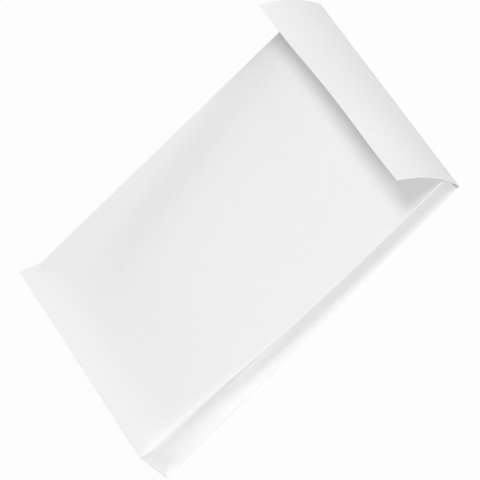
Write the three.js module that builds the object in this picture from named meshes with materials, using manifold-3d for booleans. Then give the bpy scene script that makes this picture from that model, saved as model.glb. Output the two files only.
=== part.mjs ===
// Gusseted block-bottom pocket envelope: one folded paper sheet lying flap side up, its flap half raised.
// Units are millimetres. +Z is up, +Y runs from the block bottom to the flap, +X is the right-hand gusset.
import * as THREE from 'three';
import Module from 'manifold-3d';

// Driving dimensions
const panelWidth = 229;
const panelLength = 324;
const gusset = 38;
const paper = 0.2;
const flapLength = 60;

// The gusset's mouth edge slants up to just below the flap's fold, and the flap narrows toward its free edge
const gussetLip = 2;
const flapTaper = 2;

// How high the front panel stands above the back panel, as shares of the gusset
const creaseRight = 0.8 * gusset;
const creaseLeft = 0.68 * gusset;
const mouthRight = 0.46 * gusset;
const mouthLeft = 0.3 * gusset;
const sagRight = 2.2;
const sagLeft = 1.0;

// The block bottom stands a little skewed, and racked to the left
const baseSkew = 0.175 * gusset;
const baseRack = 0.09 * gusset;

// The front panel stops short of the flap's fold, so that the skew can't push its mouth edge into the flap
const throat = baseSkew + 3.35;

// Flap angles from the horizontal in degrees, at the fold and at the free edge
const foldAngleRight = 89;
const foldAngleLeft = 79.5;
const edgeAngleRight = 48;
const edgeAngleLeft = 43;

// Glued laps: two flaps crossing over the block bottom, and a side lap inside the back panel
const bottomFlapDepth = 0.66 * gusset;
const bottomFlapMargin = 0.6;
const sideLap = 15;
const sideLapMargin = 1;

// Peel-off liner on the flap's inner face; the glue line is the clear space for the adhesive film
const linerWidth = 24;
const linerInset = 6;
const linerEnd = 4;
const linerPaper = 0.1;
const glueLine = 0.08;

// Mesh fineness
const columns = 18;
const mitreSteps = 3;
const lengthSteps = 20;
const flapSteps = 10;
const bottomFlapSteps = 4;
const linerSteps = 4;
const flapCurveSteps = 48;
const weldsPerMillimetre = 1000;
const longestMitre = 2.2;
const mitreSoftness = 0.004;

const half = gusset / 2;
const frontLength = panelLength - throat;
const lerp = THREE.MathUtils.lerp;

function between(p, q, k) {
  return new THREE.Vector3().lerpVectors(p, q, k);
}

function evenly(from, to, count) {
  return Array.from({ length: count + 1 }, (_, i) => lerp(from, to, i / count));
}

// Crease between back panel and gusset; side is 1 on the right and -1 on the left, v runs up the sheet
function backCrease(side, v) {
  const stretch = (panelLength - gussetLip) / frontLength;
  return new THREE.Vector3((side * panelWidth) / 2, v * stretch, 0);
}

// Crease between front panel and gusset: from the block bottom's corner over the cross crease to the mouth
function frontCrease(side, v) {
  const skew = side * baseSkew;
  const top = Math.sqrt(gusset ** 2 - skew ** 2 - baseRack ** 2);
  const crease = side > 0 ? creaseRight : creaseLeft;
  const run = Math.sqrt(half ** 2 - (top - crease) ** 2);
  const x = (side * panelWidth) / 2 - baseRack * (1 - v / frontLength);
  if (v <= half) {
    return new THREE.Vector3(x, skew + (run * v) / half, lerp(top, crease, v / half));
  }
  const mouth = side > 0 ? mouthRight : mouthLeft;
  const sag = side > 0 ? sagRight : sagLeft;
  const left = (frontLength - v) / (frontLength - half);
  return new THREE.Vector3(x, skew + run + v - half, lerp(mouth, crease, left ** sag));
}

// The gusset's middle crease goes inward as deep as its two unstretched halves ask for
function middleCrease(side, v) {
  const back = backCrease(side, v);
  const front = frontCrease(side, v);
  const across = new THREE.Vector3().subVectors(front, back);
  const depth = Math.sqrt(Math.max(0, half ** 2 - across.lengthSq() / 4));
  across.normalize();
  const inward = new THREE.Vector3(-side, 0, 0);
  inward.addScaledVector(across, -inward.dot(across)).normalize();
  return between(back, front, 0.5).addScaledVector(inward, depth);
}

// Half a gusset, from an outer crease to the middle one, with the 45 degree mitre beside the block bottom
function gussetHalf(side, outerCrease) {
  const corner = outerCrease(side, 0);
  const shoulder = outerCrease(side, half);
  const tip = middleCrease(side, half);
  const foot = between(backCrease(side, 0), frontCrease(side, 0), 0.5);
  return (a, v) => {
    if (v >= half) {
      return between(outerCrease(side, v), middleCrease(side, v), a);
    }
    const b = v / half;
    if (a <= b) {
      return between(corner, shoulder, b).addScaledVector(tip, a).addScaledVector(shoulder, -a);
    }
    return between(corner, foot, a).addScaledVector(tip, b).addScaledVector(foot, -b);
  };
}

function frontPanel(u, v) {
  return between(frontCrease(-1, v), frontCrease(1, v), u);
}

function backPanel(u, v) {
  return between(backCrease(-1, v), backCrease(1, v), u);
}

function blockBottom(u, w) {
  return between(backPanel(u, 0), frontPanel(u, 0), w);
}

// Strip of the back panel between the gussets' ends and the flap's fold
function lip(u, k) {
  return between(backPanel(u, frontLength), flap(u, 0), k);
}

// The flap rises steeply from its fold, leans over the mouth and flattens toward its free edge
function flap(u, s) {
  const start = lerp(foldAngleLeft, foldAngleRight, u);
  const end = lerp(edgeAngleLeft, edgeAngleRight, u);
  const step = s / flapCurveSteps;
  let y = panelLength;
  let z = 0;
  for (let i = 0; i < flapCurveSteps; i += 1) {
    const angle = THREE.MathUtils.degToRad(lerp(start, end, ((i + 0.5) * step) / flapLength));
    y -= Math.cos(angle) * step;
    z += Math.sin(angle) * step;
  }
  const reach = panelWidth / 2 - (flapTaper * s) / flapLength;
  return new THREE.Vector3(lerp(-reach, reach, u), y, z);
}

// A sheet of triangles that welds its points, so that neighbouring panels share their crease
class Sheet {
  constructor() {
    this.points = [];
    this.faces = [];
    this.index = new Map();
  }

  vertex(point) {
    const key = point.toArray().map((c) => Math.round(c * weldsPerMillimetre)).join();
    if (!this.index.has(key)) {
      this.index.set(key, this.points.length);
      this.points.push(point);
    }
    return this.index.get(key);
  }

  // Adds a panel given by a function of two parameters; turned puts its outer side underneath
  panel(as, bs, at, turned) {
    const ids = bs.map((b) => as.map((a) => this.vertex(at(a, b))));
    for (let j = 1; j < bs.length; j += 1) {
      for (let i = 1; i < as.length; i += 1) {
        const start = ids[j - 1][i - 1];
        const along = ids[j - 1][i];
        const far = ids[j][i];
        const up = ids[j][i - 1];
        this.faces.push(turned ? [start, far, along] : [start, along, far]);
        this.faces.push(turned ? [start, up, far] : [start, far, up]);
      }
    }
  }
}

// For each point, the offset that moves all its faces out by one unit, found by weighted least squares
function mitres(sheet) {
  const sums = sheet.points.map(() => ({ matrix: new Array(9).fill(0), normal: new THREE.Vector3() }));
  for (const face of sheet.faces) {
    for (let k = 0; k < 3; k += 1) {
      const [p, q, r] = [0, 1, 2].map((i) => sheet.points[face[(k + i) % 3]]);
      const first = new THREE.Vector3().subVectors(q, p);
      const second = new THREE.Vector3().subVectors(r, p);
      const weight = first.angleTo(second);
      const normal = first.cross(second).normalize();
      const n = normal.toArray();
      const sum = sums[face[k]];
      sum.matrix = sum.matrix.map((c, i) => c + weight * n[i % 3] * n[Math.floor(i / 3)]);
      sum.normal.addScaledVector(normal, weight);
    }
  }
  return sums.map(({ matrix, normal }) => {
    const soft = mitreSoftness * (matrix[0] + matrix[4] + matrix[8]);
    const system = new THREE.Matrix3().fromArray(matrix.map((c, i) => (i % 4 === 0 ? c + soft : c)));
    return normal.applyMatrix3(system.invert()).clampLength(0, longestMitre);
  });
}

// Gives a sheet its thickness between two offsets, and closes its free edges
function thicken(sheet, low, high) {
  const offsets = mitres(sheet);
  const count = sheet.points.length;
  const position = [high, low].flatMap((level) => (
    sheet.points.flatMap((p, i) => p.clone().addScaledVector(offsets[i], level).toArray())
  ));
  const index = [];
  const freeEdges = new Map();
  for (const [a, b, c] of sheet.faces) {
    index.push(a, b, c, a + count, c + count, b + count);
    for (const [p, q] of [[a, b], [b, c], [c, a]]) {
      if (!freeEdges.delete(`${q},${p}`)) {
        freeEdges.set(`${p},${q}`, [p, q]);
      }
    }
  }
  for (const [p, q] of freeEdges.values()) {
    index.push(p, p + count, q + count, p, q + count, q);
  }
  const geometry = new THREE.BufferGeometry();
  geometry.setAttribute('position', new THREE.Float32BufferAttribute(position, 3));
  geometry.setIndex(index);
  return geometry;
}

// The whole sheet: tube of two panels and two gussets, block bottom and flap
function foldedSheet() {
  const sheet = new Sheet();
  const us = evenly(0, 1, columns);
  const vs = [...evenly(0, half, mitreSteps), ...evenly(half, frontLength, lengthSteps).slice(1)];
  const as = evenly(0, 1, mitreSteps);
  sheet.panel(us, vs, frontPanel, false);
  sheet.panel(us, vs, backPanel, true);
  sheet.panel(us, evenly(0, 1, 2 * mitreSteps), blockBottom, false);
  for (const side of [-1, 1]) {
    sheet.panel(as, vs, gussetHalf(side, backCrease), side > 0);
    sheet.panel(as, vs, gussetHalf(side, frontCrease), side < 0);
  }
  sheet.panel(us, [0, 1], lip, true);
  sheet.panel(us, evenly(0, flapLength, flapSteps), flap, true);
  return thicken(sheet, -paper / 2, paper / 2);
}

// A flap glued over the block bottom, hung from its upper or lower edge, with its ends cut at 45 degrees
function bottomFlap(hung, layers) {
  const sheet = new Sheet();
  const at = (k, depth) => {
    const inset = (bottomFlapMargin + depth) / panelWidth;
    const w = depth / gusset;
    return blockBottom(lerp(inset, 1 - inset, k), hung ? 1 - w : w);
  };
  const depths = evenly(bottomFlapMargin, bottomFlapDepth, bottomFlapSteps);
  sheet.panel(evenly(0, 1, columns), depths, at, hung);
  return thicken(sheet, 0, paper * (layers + 0.5));
}

// The sheet's side lap lies inside the back panel along the left crease, sunk into it to join it
function sideLapStrip() {
  const length = frontLength - 2 * gussetLip;
  const strip = new THREE.BoxGeometry(sideLap, length, paper * 1.25);
  const x = (sideLap - panelWidth) / 2 + sideLapMargin;
  return strip.translate(x, gussetLip + length / 2, paper * 0.875);
}

// The release liner follows the flap's inner face
function releaseLiner() {
  const sheet = new Sheet();
  const edge = (flapTaper + linerEnd) / panelWidth;
  const far = flapLength - linerInset;
  const us = evenly(edge, 1 - edge, columns);
  sheet.panel(us, evenly(far - linerWidth, far, linerSteps), flap, true);
  const face = -paper / 2 - glueLine;
  return thicken(sheet, face - linerPaper, face);
}

// Joins closed geometries into one body
async function join(geometries) {
  const kit = await Module();
  kit.setup();
  const solids = geometries.map((geometry) => {
    const mesh = new kit.Mesh({
      numProp: 3,
      vertProperties: geometry.attributes.position.array,
      triVerts: Uint32Array.from(geometry.index.array),
    });
    mesh.merge();
    return new kit.Manifold(mesh);
  });
  const joined = kit.Manifold.union(solids).getMesh();
  const geometry = new THREE.BufferGeometry();
  geometry.setAttribute('position', new THREE.Float32BufferAttribute(joined.vertProperties, 3));
  geometry.setIndex(Array.from(joined.triVerts));
  return geometry;
}

function piece(name, geometry, color, roughness) {
  geometry.computeVertexNormals();
  const material = new THREE.MeshStandardMaterial({ color, roughness, metalness: 0 });
  const mesh = new THREE.Mesh(geometry, material);
  mesh.name = name;
  return mesh;
}

const body = await join([foldedSheet(), bottomFlap(true, 1), bottomFlap(false, 2), sideLapStrip()]);

const model = new THREE.Group();
model.name = 'gusseted_envelope';
model.add(piece('envelope', body, 0xf4f4f2, 0.85));
model.add(piece('release_liner', releaseLiner(), 0xe4e6e5, 0.45));

// The part stands on the floor with its box centred on the origin
const box = new THREE.Box3().setFromObject(model);
const centre = box.getCenter(new THREE.Vector3());
for (const mesh of model.children) {
  mesh.geometry.translate(-centre.x, -centre.y, -box.min.z);
}

export default model;
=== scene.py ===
import math

import bpy
import numpy as np
from mathutils import Matrix, Vector


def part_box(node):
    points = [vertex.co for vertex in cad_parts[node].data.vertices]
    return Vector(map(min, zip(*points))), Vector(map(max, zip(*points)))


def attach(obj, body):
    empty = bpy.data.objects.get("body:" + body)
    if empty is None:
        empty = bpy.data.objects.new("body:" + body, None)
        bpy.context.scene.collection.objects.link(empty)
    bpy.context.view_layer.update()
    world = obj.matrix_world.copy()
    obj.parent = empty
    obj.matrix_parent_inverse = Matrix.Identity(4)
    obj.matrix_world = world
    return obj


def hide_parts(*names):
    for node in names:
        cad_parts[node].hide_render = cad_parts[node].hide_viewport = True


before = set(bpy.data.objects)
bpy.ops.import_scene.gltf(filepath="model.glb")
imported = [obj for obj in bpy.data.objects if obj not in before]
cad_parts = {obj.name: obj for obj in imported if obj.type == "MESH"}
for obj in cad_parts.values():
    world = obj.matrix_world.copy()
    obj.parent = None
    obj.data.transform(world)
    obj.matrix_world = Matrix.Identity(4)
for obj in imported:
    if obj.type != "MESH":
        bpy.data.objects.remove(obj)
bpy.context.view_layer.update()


# The pocket: one cut of white wood-free paper, creased, folded and glued into a tube of two panels and two
# gussets that fold inward. The tube's foot is squared into a block bottom, whose ends tuck in along 45 degree
# mitre folds, and the back panel runs on past the mouth as a flap that springs half open from its fold.
paper = 0.0002
panel_width = 0.229
panel_length = 0.324
gusset = 0.038
half_gusset = gusset / 2
throat = 0.010
gusset_lip = 0.002
front_length = panel_length - throat
flap_length = 0.060
flap_taper = 0.002

# Sides are -1 for the left and 1 for the right. The front panel stands this high over the back panel at the
# cross fold and at the mouth, and sags between them by a power of the way down
cross_height = {-1: 0.68 * gusset, 1: 0.80 * gusset}
mouth_height = {-1: 0.30 * gusset, 1: 0.46 * gusset}
sag = {-1: 1.0, 1: 2.2}

# The front panel's right-hand fold runs on at the mouth, nearly to the flap, and bends softly by the foot
mouth_reach = {-1: 0.0, 1: 0.0018}
cross_softness = {-1: 0.0015, 1: 0.0090}
bend_samples = 21

# The block bottom's upper edge is turned, its right-hand end up the sheet, and racked to the left
foot_skew = 0.175 * gusset
foot_rack = 0.09 * gusset

# The flap's slope in degrees at its fold and at its free edge
fold_slope = {-1: 79.5, 1: 89}
edge_slope = {-1: 43, 1: 48}
slope_steps = 48

# In the frame's box the right-hand fold stands out past the middle of its paper
fold_overhang = 0.00028
low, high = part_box("envelope")
right_fold_x = high.x - fold_overhang
foot_middle = np.array([right_fold_x - panel_width / 2, high.y - panel_length, low.z + paper / 2])


def back_fold(side, v):
    """Fold between the back panel and a gusset; v runs up the sheet from the block bottom."""
    return foot_middle + [side * panel_width / 2, v * (panel_length - gusset_lip) / front_length, 0]


def creased_front_fold(side, v):
    """Fold between the front panel and a gusset, with a sharp bend where the cross fold meets it."""
    skew = side * foot_skew
    top = math.sqrt(gusset**2 - skew**2 - foot_rack**2)
    cross = cross_height[side]
    run = math.sqrt(half_gusset**2 - (top - cross) ** 2)
    x = side * panel_width / 2 - foot_rack * (1 - v / front_length)
    if v <= half_gusset:
        k = v / half_gusset
        return foot_middle + [x, skew + run * k, top + (cross - top) * k]
    k = max(0, (front_length - v) / (front_length - half_gusset))
    mouth = mouth_height[side]
    return foot_middle + [x, skew + run + v - half_gusset, mouth + (cross - mouth) * k ** sag[side]]


def front_fold(side, v):
    """The same fold with its bend eased, sharper on the left than on the right."""
    reach = max(0, min(cross_softness[side], v, front_length - v))
    spots = [v + reach * k for k in np.linspace(-1, 1, bend_samples)]
    return np.mean([creased_front_fold(side, spot) for spot in spots], axis=0)


def middle_fold(side, v):
    """The gusset's own fold, as deep inside as its two unstretched halves ask for."""
    back = back_fold(side, v)
    across = front_fold(side, v) - back
    depth = math.sqrt(max(0, half_gusset**2 - across @ across / 4))
    inward = np.array([-side, 0, 0]) + across * (side * across[0] / (across @ across))
    return back + across / 2 + inward * (depth / np.linalg.norm(inward))


def flap_end(side, s):
    """End edge of the flap, s along it from the fold: steep at first, then leaning over the mouth."""
    steps = (np.arange(slope_steps) + 0.5) * s / slope_steps
    slopes = np.radians(fold_slope[side] + (edge_slope[side] - fold_slope[side]) * steps / flap_length)
    reach = panel_width / 2 - flap_taper * s / flap_length
    return foot_middle + [side * reach, panel_length - np.cos(slopes).mean() * s, np.sin(slopes).mean() * s]


foot_points = 25
long_points = 193
flap_points = 61
fold_lines = {}
for side, hand in ((-1, "left"), (1, "right")):
    foot_run = np.linspace(0, half_gusset, foot_points)
    long_run = np.linspace(half_gusset, front_length, long_points)
    front_run = np.linspace(half_gusset, front_length + mouth_reach[side], long_points)
    flap_run = np.linspace(0, flap_length, flap_points)
    tip = middle_fold(side, half_gusset)
    fold_lines[hand + " back foot"] = [back_fold(side, v) for v in foot_run]
    fold_lines[hand + " back"] = [back_fold(side, v) for v in long_run]
    fold_lines[hand + " front foot"] = [front_fold(side, v) for v in foot_run]
    fold_lines[hand + " front"] = [front_fold(side, v) for v in front_run]
    fold_lines[hand + " middle"] = [middle_fold(side, v) for v in long_run]
    fold_lines[hand + " back mitre"] = [back_fold(side, 0), tip]
    fold_lines[hand + " front mitre"] = [front_fold(side, 0), tip]
    fold_lines[hand + " block end"] = [back_fold(side, 0), front_fold(side, 0)]
    fold_lines[hand + " lip"] = [back_fold(side, front_length), flap_end(side, 0)]
    fold_lines[hand + " flap end"] = [flap_end(side, s) for s in flap_run]
line_number = {name: number for number, name in enumerate(fold_lines)}


def curves_along(name, lines):
    """A curve object with one straight-run spline for each line of points."""
    curve = bpy.data.curves.new(name, "CURVE")
    curve.dimensions = "3D"
    for points in lines:
        spline = curve.splines.new("POLY")
        spline.points.add(len(points) - 1)
        spline.points.foreach_set("co", np.column_stack([points, np.ones(len(points))]).ravel())
    holder = bpy.data.objects.new(name, curve)
    bpy.context.collection.objects.link(holder)
    return holder


def add(tree, kind, inputs=None, **options):
    """Adds a node, sets its options, and links or fills its inputs."""
    node = tree.nodes.new(kind)
    for key, value in options.items():
        setattr(node, key, value)
    for key, value in (inputs or {}).items():
        if isinstance(value, bpy.types.NodeSocket):
            tree.links.new(value, node.inputs[key])
        else:
            node.inputs[key].default_value = value
    return node


def new_tree(name, inputs):
    """A geometry tree with named inputs and one geometry output; returns it with its two end nodes."""
    tree = bpy.data.node_groups.new(name, "GeometryNodeTree")
    for label, kind in inputs.items():
        tree.interface.new_socket(label, in_out="INPUT", socket_type="NodeSocket" + kind)
    tree.interface.new_socket("Geometry", in_out="OUTPUT", socket_type="NodeSocketGeometry")
    return tree, tree.nodes.new("NodeGroupInput").outputs, tree.nodes.new("NodeGroupOutput").inputs


def grown_mesh(name, tree, values, thickness):
    """Runs a geometry tree on a blank object, gives the sheet its thickness, and keeps the plain mesh."""
    sharp_angle = math.radians(50)
    blank = bpy.data.objects.new(name + "_blank", bpy.data.meshes.new(name + "_blank"))
    bpy.context.collection.objects.link(blank)
    grower = blank.modifiers.new("grow", "NODES")
    grower.node_group = tree
    for item in tree.interface.items_tree:
        if item.in_out == "INPUT" and item.name in values:
            grower[item.identifier] = values[item.name]
    wall = blank.modifiers.new("wall", "SOLIDIFY")
    wall.thickness = thickness
    wall.offset = 0.0
    whole = blank.evaluated_get(bpy.context.evaluated_depsgraph_get())
    mesh = bpy.data.meshes.new_from_object(whole)
    mesh.name = name
    bpy.data.objects.remove(blank)
    mesh.set_sharp_from_angle(angle=sharp_angle)
    piece = bpy.data.objects.new(name, mesh)
    bpy.context.collection.objects.link(piece)
    return piece


# A panel is the sheet ruled between two fold lines, with its rows crowded together beside the folds
crowding = 0.8
panel_tree, given, result = new_tree("panel between two folds", {
    "Fold lines": "Geometry", "First line": "Int", "Second line": "Int", "Steps across": "Int",
    "Steps along": "Int", "From": "Vector", "To": "Vector"})
columns = add(panel_tree, "ShaderNodeMath", {0: given["Steps across"], 1: 1.0})
rows = add(panel_tree, "ShaderNodeMath", {0: given["Steps along"], 1: 1.0})
grid = add(panel_tree, "GeometryNodeMeshGrid", {
    "Size X": 1.0, "Size Y": 1.0, "Vertices X": columns.outputs[0], "Vertices Y": rows.outputs[0]})
even = grid.outputs["UV Map"]
turn = add(panel_tree, "ShaderNodeVectorMath", {0: even, 1: (math.tau, math.tau, 0)}, operation="MULTIPLY")
wave = add(panel_tree, "ShaderNodeVectorMath", {0: turn.outputs[0]}, operation="SINE")
crowd = add(panel_tree, "ShaderNodeVectorMath", {
    0: wave.outputs[0], 1: (-crowding / math.tau,) * 3, 2: even}, operation="MULTIPLY_ADD")
span = add(panel_tree, "ShaderNodeVectorMath", {0: given["To"], 1: given["From"]}, operation="SUBTRACT")
place = add(panel_tree, "ShaderNodeVectorMath", {
    0: crowd.outputs[0], 1: span.outputs[0], 2: given["From"]}, operation="MULTIPLY_ADD")
parts = add(panel_tree, "ShaderNodeSeparateXYZ", {0: place.outputs[0]})


def on_fold_line(number):
    """The point on a fold line that is as far along it as the panel's point is along the panel."""
    sample = add(panel_tree, "GeometryNodeSampleCurve", mode="FACTOR", inputs={
        "Curves": given["Fold lines"], "Factor": parts.outputs["Y"], "Curve Index": number})
    return sample.outputs["Position"]


first = on_fold_line(given["First line"])
second = on_fold_line(given["Second line"])
ruled = add(panel_tree, "ShaderNodeMix", {0: parts.outputs["X"], 4: first, 5: second}, data_type="VECTOR")
keep = add(panel_tree, "GeometryNodeStoreNamedAttribute", {
    "Geometry": grid.outputs["Mesh"], "Name": "place", "Value": place.outputs[0]}, data_type="FLOAT_VECTOR")
lay = add(panel_tree, "GeometryNodeSetPosition", {
    "Geometry": keep.outputs[0], "Position": ruled.outputs[1]})
panel_tree.links.new(lay.outputs[0], result[0])


def curve_over(tree, source, points):
    """A drawn curve over a number from 0 to 1."""
    node = add(tree, "ShaderNodeFloatCurve", {"Value": source})
    drawn = node.mapping.curves[0].points
    while len(drawn) < len(points):
        drawn.new(0.5, 0.5)
    for knot, spot in zip(drawn, points):
        knot.location = spot
    node.mapping.update()
    return node.outputs[0]


def product(tree, *factors):
    """Multiplies numbers together."""
    total = factors[0]
    for factor in factors[1:]:
        total = add(tree, "ShaderNodeMath", {0: total, 1: factor}, operation="MULTIPLY").outputs[0]
    return total


def less(tree, number, amount):
    """One number less another."""
    return add(tree, "ShaderNodeMath", {0: number, 1: amount}, operation="SUBTRACT").outputs[0]


def place_on(tree):
    """How far across and along its panel a point lies, each from 0 to 1."""
    noted = add(tree, "GeometryNodeInputNamedAttribute", {"Name": "place"}, data_type="FLOAT_VECTOR")
    parts = add(tree, "ShaderNodeSeparateXYZ", {0: noted.outputs[0]})
    return parts.outputs["X"], parts.outputs["Y"]


def pushed_out(tree, sheet, height):
    """Moves a sheet's points outward along its normals."""
    facing = add(tree, "GeometryNodeInputNormal")
    push = add(tree, "ShaderNodeVectorMath", {0: facing.outputs[0], "Scale": height}, operation="SCALE")
    return add(tree, "GeometryNodeSetPosition", {"Geometry": sheet, "Offset": push.outputs[0]}).outputs[0]


# The flap's free edge waves a little: it is bent back in the middle and curls at the left corner
curl_rise = 0.55
curl_tree, given, result = new_tree("curl of the flap", {"Flap": "Geometry", "Curl": "Float"})
from_right, from_fold = place_on(curl_tree)
wave = curve_over(curl_tree, from_right, (
    (0, 0.5), (0.15, 0.5), (0.3, 0.72), (0.45, 0.85), (0.62, 0.72), (0.8, 0.5), (1, 0.8)))
lift = product(curl_tree, less(curl_tree, wave, 0.5), from_fold, from_fold, given["Curl"])
push = add(curl_tree, "ShaderNodeCombineXYZ", {1: lift, 2: product(curl_tree, lift, curl_rise)})
curled = add(curl_tree, "GeometryNodeSetPosition", {"Geometry": given["Flap"], "Offset": push.outputs[0]})
curl_tree.links.new(curled.outputs[0], result[0])

# The front panel arches up. Its climb from the left starts further in by the foot, and right at the fold by
# the mouth, where it is quick at first. The mouth itself bulges on the left, under the flap
arch_tree, given, result = new_tree("arch of the front panel", {
    "Panel": "Geometry", "Height": "Float", "Bulge": "Float"})
from_left, from_foot = place_on(arch_tree)
climb_start = add(arch_tree, "ShaderNodeMapRange", {
    "Value": from_foot, "From Max": 0.7, "To Min": 0.16, "To Max": 0.0})
climb_end = add(arch_tree, "ShaderNodeMapRange", {"Value": from_foot, "To Min": 0.46, "To Max": 0.2})
climb = add(arch_tree, "ShaderNodeMapRange", {
    "Value": from_left, "From Min": climb_start.outputs[0], "From Max": climb_end.outputs[0]}).outputs[0]
slow_rise = curve_over(arch_tree, climb, ((0, 0), (0.15, 0.1), (0.4, 0.45), (0.7, 0.85), (1, 1)))
quick_rise = curve_over(arch_tree, climb, (
    (0, 0), (0.07, 0.25), (0.2, 0.55), (0.4, 0.78), (0.7, 0.93), (1, 1)))
by_mouth = curve_over(arch_tree, from_foot, ((0, 0), (0.55, 0), (0.82, 0.7), (1, 1)))
rise = add(arch_tree, "ShaderNodeMix", {0: by_mouth, 2: slow_rise, 3: quick_rise}, data_type="FLOAT")
fall = curve_over(arch_tree, from_left, ((0, 1), (0.35, 1), (0.7, 0.6), (1, 0)))
swell = curve_over(arch_tree, from_foot, ((0, 0), (0.12, 0.25), (0.3, 0.8), (0.5, 1), (0.8, 1), (1, 0.8)))
arch = product(arch_tree, rise.outputs[0], fall, swell, given["Height"])
bulge_across = curve_over(arch_tree, from_left, (
    (0, 0), (0.04, 0.35), (0.1, 0.75), (0.18, 1), (0.3, 0.8), (0.5, 0.3), (0.7, 0), (1, 0)))
bulge_along = curve_over(arch_tree, from_foot, ((0, 0), (0.72, 0), (0.84, 0.25), (0.93, 0.65), (1, 1)))
bulge = product(arch_tree, bulge_across, bulge_along, given["Bulge"])
height = add(arch_tree, "ShaderNodeMath", {0: arch, 1: bulge})
lift = add(arch_tree, "ShaderNodeCombineXYZ", {2: height.outputs[0]})
arched = add(arch_tree, "GeometryNodeSetPosition", {"Geometry": given["Panel"], "Offset": lift.outputs[0]})
arch_tree.links.new(arched.outputs[0], result[0])

# Paper springs away from a fold, so that a panel is a little full beside it, most near the mouth
spring_tree, given, result = new_tree("spring beside a fold", {
    "Panel": "Geometry", "Breadth": "Float", "Fullness": "Float", "Reach": "Float"})
across, from_foot = place_on(spring_tree)
away = product(spring_tree, across, given["Breadth"])
reaches = add(spring_tree, "ShaderNodeMath", {0: away, 1: given["Reach"]}, operation="DIVIDE").outputs[0]
fading = less(spring_tree, 1.0, reaches)
fade = add(spring_tree, "ShaderNodeMath", {0: fading}, operation="EXPONENT").outputs[0]
growth = curve_over(spring_tree, from_foot, ((0, 0), (0.4, 0.1), (0.7, 0.6), (1, 1)))
height = product(spring_tree, reaches, fade, growth, given["Fullness"])
spring_tree.links.new(pushed_out(spring_tree, given["Panel"], height), result[0])

# No sheet is quite flat: a faint ripple dies out toward a panel's edges. A share of the way across times the
# rest of it is a quarter at the most, in the middle
to_whole = 4.0
ripple_tree, given, result = new_tree("faint ripple", {
    "Panel": "Geometry", "Height": "Float", "Size": "Float", "Seed": "Float"})
spot = add(ripple_tree, "GeometryNodeInputPosition")
hills = add(ripple_tree, "ShaderNodeTexNoise", noise_dimensions="4D", inputs={
    "Vector": spot.outputs[0], "W": given["Seed"], "Scale": given["Size"], "Detail": 1.0})
swing = less(ripple_tree, hills.outputs[0], 0.5)
for share in place_on(ripple_tree):
    swing = product(ripple_tree, swing, share, less(ripple_tree, 1.0, share), to_whole)
height = product(ripple_tree, swing, given["Height"])
ripple_tree.links.new(pushed_out(ripple_tree, given["Panel"], height), result[0])

# The whole pocket: its panels with their own bends, welded together, with every fold eased
pocket_tree, pocket_given, result = new_tree("folded pocket", {
    "Fold lines": "Object", "Soft folds": "Object",
    "Panel steps across": "Int", "Panel steps along": "Int", "Gusset steps": "Int", "Mitre steps": "Int",
    "Block steps": "Int", "Flap steps": "Int",
    "Softening": "Int", "Soft reach": "Float", "Arch": "Float", "Bulge": "Float", "Curl": "Float",
    "Fullness": "Float", "Reach": "Float", "Ripple height": "Float", "Ripple size": "Float", "Seed": "Float",
    "Paper": "Material"})
pocket_lines = add(pocket_tree, "GeometryNodeObjectInfo", {"Object": pocket_given["Fold lines"]})


def panel(tree, lines, steps_across, steps_along, first, second, start=(0, 0, 0), stop=(1, 1, 0)):
    """One panel of a tree. From outside, with its way along upward, the first fold line is on its left."""
    return add(tree, "GeometryNodeGroup", node_tree=panel_tree, inputs={
        "Fold lines": lines, "First line": first, "Second line": second, "Steps across": steps_across,
        "Steps along": steps_along, "From": start, "To": stop}).outputs[0]


def pocket_panel(steps_across, steps_along, first, second):
    """One panel of the pocket, by the names of its fold lines."""
    return panel(pocket_tree, pocket_lines.outputs["Geometry"], pocket_given[steps_across],
                 pocket_given[steps_along], line_number[first], line_number[second])


def bent(kind, sheet, **values):
    """Puts a panel of the pocket through one of the trees that bend it."""
    inputs = {name.capitalize(): value for name, value in values.items()}
    return add(pocket_tree, "GeometryNodeGroup", node_tree=kind, inputs={0: sheet, **inputs}).outputs[0]


def rippled(sheet):
    """Gives a panel of the pocket its faint ripple."""
    return bent(ripple_tree, sheet, height=pocket_given["Ripple height"], size=pocket_given["Ripple size"],
                seed=pocket_given["Seed"])


wide, long = "Panel steps across", "Panel steps along"
front = bent(arch_tree, pocket_panel(wide, long, "left front", "right front"),
             height=pocket_given["Arch"], bulge=pocket_given["Bulge"])
right_gusset = bent(spring_tree, pocket_panel("Gusset steps", long, "right front", "right middle"),
                    breadth=half_gusset, fullness=pocket_given["Fullness"], reach=pocket_given["Reach"])
flap = bent(curl_tree, pocket_panel(wide, "Flap steps", "right flap end", "left flap end"),
            curl=pocket_given["Curl"])
panels = [
    rippled(front), rippled(flap), right_gusset,
    pocket_panel(wide, "Mitre steps", "left front foot", "right front foot"),
    pocket_panel(wide, "Mitre steps", "right back foot", "left back foot"),
    pocket_panel(wide, long, "right back", "left back"),
    pocket_panel(wide, "Block steps", "left block end", "right block end"),
    pocket_panel(wide, "Mitre steps", "right lip", "left lip"),
    pocket_panel("Gusset steps", long, "left back", "left middle"),
    pocket_panel("Gusset steps", long, "left middle", "left front"),
    pocket_panel("Gusset steps", long, "right middle", "right back"),
]
for hand in ("left", "right"):
    folds = [("Gusset steps", hand + " back foot", hand + " back mitre"),
             ("Gusset steps", hand + " front mitre", hand + " front foot"),
             ("Block steps", hand + " back mitre", hand + " front mitre")]
    for across, inner, outer in folds:
        pair = (inner, outer) if hand == "left" else (outer, inner)
        panels.append(pocket_panel(across, "Mitre steps", *pair))

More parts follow.
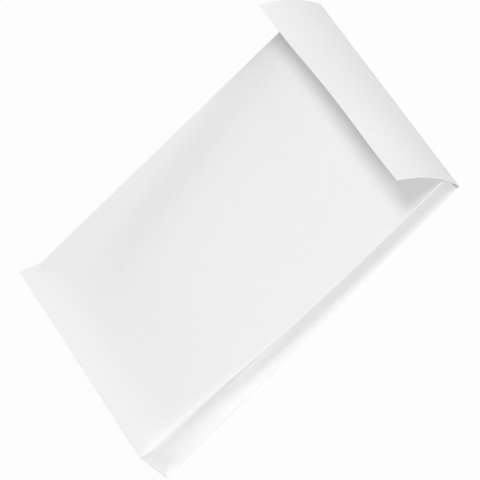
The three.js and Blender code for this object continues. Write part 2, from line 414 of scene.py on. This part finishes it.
# The panels are welded where they meet, and an edge that bends by more than an angle, in radians, is a fold
weld_gap = 2e-6
fold_angle = 0.12
easing_rounds = 2
joined = add(pocket_tree, "GeometryNodeJoinGeometry")
for piece in panels:
    pocket_tree.links.new(piece, joined.inputs[0])
welded = add(pocket_tree, "GeometryNodeMergeByDistance", {
    "Geometry": joined.outputs[0], "Distance": weld_gap})
bend = add(pocket_tree, "GeometryNodeInputMeshEdgeAngle")
folded = add(pocket_tree, "ShaderNodeMath", {
    0: bend.outputs["Unsigned Angle"], 1: fold_angle}, operation="GREATER_THAN")
marked = add(pocket_tree, "GeometryNodeStoreNamedAttribute", data_type="FLOAT", domain="POINT", inputs={
    "Geometry": welded.outputs[0], "Name": "fold", "Value": folded.outputs[0]})
fold_mark = add(pocket_tree, "GeometryNodeInputNamedAttribute", {"Name": "fold"}, data_type="FLOAT")
spot = add(pocket_tree, "GeometryNodeInputPosition")
eased = add(pocket_tree, "GeometryNodeBlurAttribute", data_type="FLOAT_VECTOR", inputs={
    "Value": spot.outputs[0], "Iterations": easing_rounds, "Weight": fold_mark.outputs[0]})
rounded = add(pocket_tree, "GeometryNodeSetPosition", {
    "Geometry": marked.outputs[0], "Position": eased.outputs[0]})

# The cross fold and the right-hand gusset's front and middle folds are soft by the foot, and sharpen toward
# the mouth. The block bottom's edge, the left-hand side and the paper near the table stay as they are folded
still_foot = 0.001
still_height = 0.002
free_height = 0.014
foot_x, foot_y = foot_middle[:2]
soft_lines = add(pocket_tree, "GeometryNodeObjectInfo", {"Object": pocket_given["Soft folds"]})
soft_wires = add(pocket_tree, "GeometryNodeCurveToMesh", {"Curve": soft_lines.outputs["Geometry"]})
near = add(pocket_tree, "GeometryNodeProximity", {"Geometry": soft_wires.outputs[0]}, target_element="EDGES")
parts = add(pocket_tree, "ShaderNodeSeparateXYZ", {0: spot.outputs[0]})
leaning = add(pocket_tree, "ShaderNodeVectorMath", {
    0: spot.outputs[0], 1: (-2 * foot_skew / panel_width, 1, 0)}, operation="DOT_PRODUCT").outputs["Value"]
up_sheet = add(pocket_tree, "ShaderNodeMapRange", {
    "Value": leaning, "From Min": foot_y, "From Max": foot_y + front_length})
shrink = curve_over(pocket_tree, up_sheet.outputs[0], (
    (0, 1), (0.08, 0.95), (0.16, 0.72), (0.26, 0.42), (0.45, 0.17), (0.7, 0.08), (1, 0.04)))
softness = add(pocket_tree, "ShaderNodeMapRange", {
    "Value": near.outputs["Distance"], "From Max": product(pocket_tree, shrink, pocket_given["Soft reach"]),
    "To Min": 1.0, "To Max": 0.0})
off_foot = add(pocket_tree, "ShaderNodeMapRange", {
    "Value": leaning, "From Min": foot_y + still_foot, "From Max": foot_y + half_gusset})
off_left = add(pocket_tree, "ShaderNodeMapRange", {
    "Value": parts.outputs["X"], "From Min": foot_x - panel_width / 2, "From Max": foot_x - panel_width / 3})
off_table = add(pocket_tree, "ShaderNodeMapRange", {
    "Value": parts.outputs["Z"], "From Min": still_height, "From Max": free_height})
give = product(pocket_tree, softness.outputs[0], shrink, shrink, off_foot.outputs[0], off_left.outputs[0],
               off_table.outputs[0])
softer = add(pocket_tree, "GeometryNodeBlurAttribute", data_type="FLOAT_VECTOR", inputs={
    "Value": spot.outputs[0], "Iterations": pocket_given["Softening"], "Weight": give})
softened = add(pocket_tree, "GeometryNodeSetPosition", {
    "Geometry": rounded.outputs[0], "Position": softer.outputs[0]})


def covered(tree, sheet, finish):
    """Shades a sheet smooth and covers it with its finish."""
    smooth = add(tree, "GeometryNodeSetShadeSmooth", {"Geometry": sheet})
    real = add(tree, "GeometryNodeRealizeInstances", {"Geometry": smooth.outputs[0]})
    return add(tree, "GeometryNodeSetMaterial", {"Geometry": real.outputs[0], "Material": finish}).outputs[0]


pocket_tree.links.new(covered(pocket_tree, softened.outputs[0], pocket_given["Paper"]), result[0])


def paper_finish(name, pale, dark, rough, fibre_size, relief):
    """Paper with cloudy formation, fine fibres along the sheet and a faint tooth."""
    clouds_per_metre = 240.0
    fibre_stretch = 0.35
    fibre_share = 0.45
    thin, thick = 0.3, 0.7
    gloss_swing = 0.06
    tooth_height = 0.0001
    sheen = 0.1
    material = bpy.data.materials.new(name)
    material.use_nodes = True
    tree = material.node_tree
    tree.nodes.clear()
    spots = add(tree, "ShaderNodeTexCoord").outputs["Object"]
    clouds = add(tree, "ShaderNodeTexNoise", {"Vector": spots, "Scale": clouds_per_metre, "Detail": 3.0})
    combed = add(tree, "ShaderNodeMapping", {"Vector": spots, "Scale": (1.0, fibre_stretch, 1.0)})
    fibres = add(tree, "ShaderNodeTexNoise", {
        "Vector": combed.outputs[0], "Scale": 1 / fibre_size, "Detail": 4.0, "Distortion": 0.6})
    blend = add(tree, "ShaderNodeMix", {
        0: fibre_share, 2: clouds.outputs[0], 3: fibres.outputs[0]}, data_type="FLOAT").outputs[0]
    ramp = add(tree, "ShaderNodeValToRGB", {0: blend})
    for stop, position, colour in zip(ramp.color_ramp.elements, (thin, thick), (dark, pale)):
        stop.position = position
        stop.color = (*colour, 1)
    gloss = add(tree, "ShaderNodeMapRange", {
        "Value": blend, "From Min": thin, "From Max": thick,
        "To Min": rough + gloss_swing, "To Max": rough - gloss_swing})
    tooth = add(tree, "ShaderNodeBump", {"Strength": relief, "Distance": tooth_height, "Height": blend})
    shader = add(tree, "ShaderNodeBsdfPrincipled", {
        "Base Color": ramp.outputs[0], "Roughness": gloss.outputs[0], "Normal": tooth.outputs[0],
        "Specular IOR Level": sheen})
    add(tree, "ShaderNodeOutputMaterial", {"Surface": shader.outputs[0]})
    return material


white_paper = paper_finish("white_paper", pale=(0.92, 0.92, 0.92), dark=(0.90, 0.90, 0.90), rough=0.7,
                           fibre_size=0.0007, relief=0.06)
guide = curves_along("fold_lines", fold_lines.values())
cross_fold = [front_fold(-1, half_gusset), front_fold(1, half_gusset)]
soft_guide = curves_along("soft_folds", [
    fold_lines["right front foot"], fold_lines["right front"], fold_lines["right middle"], cross_fold])
flap_curl = 0.004
envelope = grown_mesh("envelope_sheet", pocket_tree, {
    "Fold lines": guide, "Soft folds": soft_guide,
    "Panel steps across": 96, "Panel steps along": 108, "Gusset steps": 12, "Mitre steps": 10,
    "Block steps": 18, "Flap steps": 32,
    "Softening": 240, "Soft reach": 0.03, "Arch": 0.0068, "Bulge": 0.009, "Curl": flap_curl,
    "Fullness": 0.0003, "Reach": 0.0012, "Ripple height": 0.0004, "Ripple size": 14.0, "Seed": 3.0,
    "Paper": white_paper}, paper)
bpy.data.objects.remove(soft_guide)
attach(envelope, "root")
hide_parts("envelope")


# The glued laps: the sheet's two bottom flaps, their ends cut at 45 degrees, fold over the block bottom and
# are glued one over the other, and its side lap is glued inside the back panel along the left-hand fold.
bottom_flap_depth = 0.66 * gusset
flap_rise = 0.001
flap_step = 0.004
hinge_gap = 0.0001
side_lap = 0.015
side_lap_margin = 0.001


def on_block(share, depth, hung, level):
    """A point on the block bottom's outer side, depth away from the edge that its flap hangs from."""
    height = 1 - depth / gusset if hung else depth / gusset
    feet = [back_fold(side, 0) + (front_fold(side, 0) - back_fold(side, 0)) * height for side in (-1, 1)]
    outward = np.cross(feet[1] - feet[0], front_fold(-1, 0) - back_fold(-1, 0))
    return feet[0] + (feet[1] - feet[0]) * share + outward / np.linalg.norm(outward) * level * paper


def bottom_flap_end(right, hung, depth):
    """A cut end of a bottom flap. The flap that folds last steps up on to the other one."""
    level = min(1, depth / flap_rise)
    if not hung:
        level += np.clip((depth - gusset + bottom_flap_depth + flap_step / 2) / flap_step, 0, 1)
    inset = depth / panel_width
    return on_block(1 - inset if right else inset, depth, hung, level)


lap_points = 60
lap_depths = np.linspace(hinge_gap, bottom_flap_depth, lap_points)
lap_lines = {}
for hung, edge in ((True, "upper"), (False, "lower")):
    lap_lines[edge + " left"] = [bottom_flap_end(False, hung, depth) for depth in lap_depths]
    lap_lines[edge + " right"] = [bottom_flap_end(True, hung, depth) for depth in lap_depths]
for name, width in (("side outer", side_lap_margin), ("side inner", side_lap_margin + side_lap)):
    lap_start = back_fold(-1, gusset_lip) + [width, 0, paper]
    lap_lines[name] = [lap_start, lap_start + [0, front_length - 2 * gusset_lip, 0]]
lap_number = {name: number for number, name in enumerate(lap_lines)}

lap_tree, given, result = new_tree("glued laps", {
    "Lap lines": "Object", "Steps along an edge": "Int", "Steps over a lap": "Int", "Paper": "Material"})
lines = add(lap_tree, "GeometryNodeObjectInfo", {"Object": given["Lap lines"]}).outputs["Geometry"]
joined = add(lap_tree, "GeometryNodeJoinGeometry")
edge_steps, lap_steps = given["Steps along an edge"], given["Steps over a lap"]
for first, second, across, along in (
        ("upper right", "upper left", edge_steps, lap_steps),
        ("lower left", "lower right", edge_steps, lap_steps),
        ("side outer", "side inner", lap_steps, edge_steps)):
    lap = panel(lap_tree, lines, across, along, lap_number[first], lap_number[second])
    lap_tree.links.new(lap, joined.inputs[0])
lap_tree.links.new(covered(lap_tree, joined.outputs[0], given["Paper"]), result[0])

lap_guide = curves_along("lap_lines", lap_lines.values())
laps = grown_mesh("glued_laps", lap_tree, {
    "Lap lines": lap_guide, "Steps along an edge": 96, "Steps over a lap": 24, "Paper": white_paper}, paper)
bpy.data.objects.remove(lap_guide)
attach(laps, "root")


# The release liner: a strip of smooth silicone-coated paper over the adhesive on the flap's inner face. It is
# peeled off to seal the envelope, and lies a glue film's thickness away from the flap.
liner_paper = 0.0001
glue_film = 0.00008
liner_near_edge = 0.030
liner_far_edge = 0.054
liner_end_gap = 0.004
liner_start = liner_near_edge / flap_length
liner_stop = liner_far_edge / flap_length
liner_end = (flap_taper + liner_end_gap) / panel_width

liner_tree, given, result = new_tree("strip on the flap", {
    "Fold lines": "Object", "Steps across": "Int", "Steps along": "Int", "Lift": "Float", "Curl": "Float",
    "Liner": "Material"})
lines = add(liner_tree, "GeometryNodeObjectInfo", {"Object": given["Fold lines"]}).outputs["Geometry"]
strip = panel(liner_tree, lines, given["Steps across"], given["Steps along"],
              line_number["right flap end"], line_number["left flap end"],
              start=(liner_end, liner_start, 0), stop=(1 - liner_end, liner_stop, 0))
curled = add(liner_tree, "GeometryNodeGroup", node_tree=curl_tree, inputs={
    "Flap": strip, "Curl": given["Curl"]})
laid = pushed_out(liner_tree, curled.outputs[0], given["Lift"])
liner_tree.links.new(covered(liner_tree, laid, given["Liner"]), result[0])

coated_paper = paper_finish("coated_paper", pale=(0.84, 0.85, 0.85), dark=(0.80, 0.81, 0.81), rough=0.38,
                            fibre_size=0.0012, relief=0.05)
liner = grown_mesh("release_liner_strip", liner_tree, {
    "Fold lines": guide, "Steps across": 96, "Steps along": 16, "Curl": flap_curl,
    "Lift": -(paper / 2 + glue_film + liner_paper / 2), "Liner": coated_paper}, liner_paper)
bpy.data.objects.remove(guide)
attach(liner, "root")
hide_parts("release_liner")


# The floor: a plain white studio table, matt and without a seam. The camera sees it nearly white, and it
# keeps a faint shadow of the envelope.
floor_reach = 4
floor_drop = 0.00005
table_grey = 0.7
glow_share = 0.95


def seen(tree):
    """1 for what the camera sees, straight, in a gloss or through glass, and 0 for light on other things."""
    path = add(tree, "ShaderNodeLightPath").outputs
    looked_at = path["Is Camera Ray"]
    for way in ("Is Glossy Ray", "Is Transmission Ray"):
        looked_at = add(tree, "ShaderNodeMath", {0: looked_at, 1: path[way]}, operation="MAXIMUM").outputs[0]
    return looked_at


floor_corners = [
    (x * floor_reach, y * floor_reach, -floor_drop) for x, y in ((-1, -1), (1, -1), (1, 1), (-1, 1))]
floor_mesh = bpy.data.meshes.new("floor")
floor_mesh.from_pydata(floor_corners, [], [(0, 1, 2, 3)])
floor = bpy.data.objects.new("floor", floor_mesh)
bpy.context.collection.objects.link(floor)
white_table = bpy.data.materials.new("white_table")
white_table.use_nodes = True
tree = white_table.node_tree
tree.nodes.clear()
board = add(tree, "ShaderNodeBsdfDiffuse", {"Color": (table_grey, table_grey, table_grey, 1)})
glow = add(tree, "ShaderNodeEmission", {"Color": (1, 1, 1, 1), "Strength": 1.0})
mixed = add(tree, "ShaderNodeMixShader", {
    0: product(tree, seen(tree), glow_share), 1: board.outputs[0], 2: glow.outputs[0]})
add(tree, "ShaderNodeOutputMaterial", {"Surface": mixed.outputs[0]})
floor_mesh.materials.append(white_table)


# The light: two soft lamps, one high up on the flap's side and one low on the right-hand gusset's side, and
# the white room gives a fill from all sides.
room_fill = 0.45
lamp_distance = 6.0
world = bpy.data.worlds.new("white_room")
bpy.context.scene.world = world
world.use_nodes = True
tree = world.node_tree
tree.nodes.clear()
strength = add(tree, "ShaderNodeMapRange", {"Value": seen(tree), "To Min": room_fill, "To Max": 1.0})
room = add(tree, "ShaderNodeBackground", {"Color": (1, 1, 1, 1), "Strength": strength.outputs[0]})
add(tree, "ShaderNodeOutputWorld", {"Surface": room.outputs[0]})

# Each lamp's bearing from the right-hand gusset toward the flap and its height, both in degrees, and then
# its breadth and its watts
for name, bearing, height, breadth, watts in (
        ("lamp_over_flap", 81, 62, 2.4, 122), ("lamp_at_gusset", 13, 33, 3.0, 124)):
    lamp_data = bpy.data.lights.new(name, "AREA")
    lamp_data.shape = "DISK"
    lamp_data.size = breadth
    lamp_data.energy = watts
    lamp = bpy.data.objects.new(name, lamp_data)
    bpy.context.collection.objects.link(lamp)
    turn = Matrix.Rotation(math.radians(bearing), 3, "Z") @ Matrix.Rotation(math.radians(-height), 3, "Y")
    lamp_way = turn @ Vector((1, 0, 0))
    lamp.location = lamp_way * lamp_distance
    lamp.rotation_euler = lamp_way.to_track_quat("Z", "Y").to_euler()


# The camera stands well back to the right of the flap, high up, with a long lens. It is rolled so that the
# flap points to the picture's corner.
camera_bearing = math.radians(22.588)
camera_height = math.radians(47.099)
camera_roll = math.radians(-62.682)
camera_distance = 1.8
aim_past_foot = Vector((-0.00186, 0.15729, 0))
eye_way = Vector((math.cos(camera_bearing), math.sin(camera_bearing), 0)) * math.cos(camera_height)
eye_way.z = math.sin(camera_height)
aim = Vector(foot_middle) + aim_past_foot
level = Vector((0, 0, 1)).cross(eye_way).normalized()
upright = eye_way.cross(level)
across_view = level * math.cos(camera_roll) + upright * math.sin(camera_roll)
up_view = upright * math.cos(camera_roll) - level * math.sin(camera_roll)
camera_data = bpy.data.cameras.new("camera")
camera_data.sensor_width = 36.0
camera_data.lens = 171.35
camera = bpy.data.objects.new("camera", camera_data)
bpy.context.collection.objects.link(camera)
facing = Matrix((across_view, up_view, eye_way)).transposed().to_4x4()
camera.matrix_world = Matrix.Translation(aim + eye_way * camera_distance) @ facing
bpy.context.scene.camera = camera
bpy.context.scene.view_settings.view_transform = "Standard"
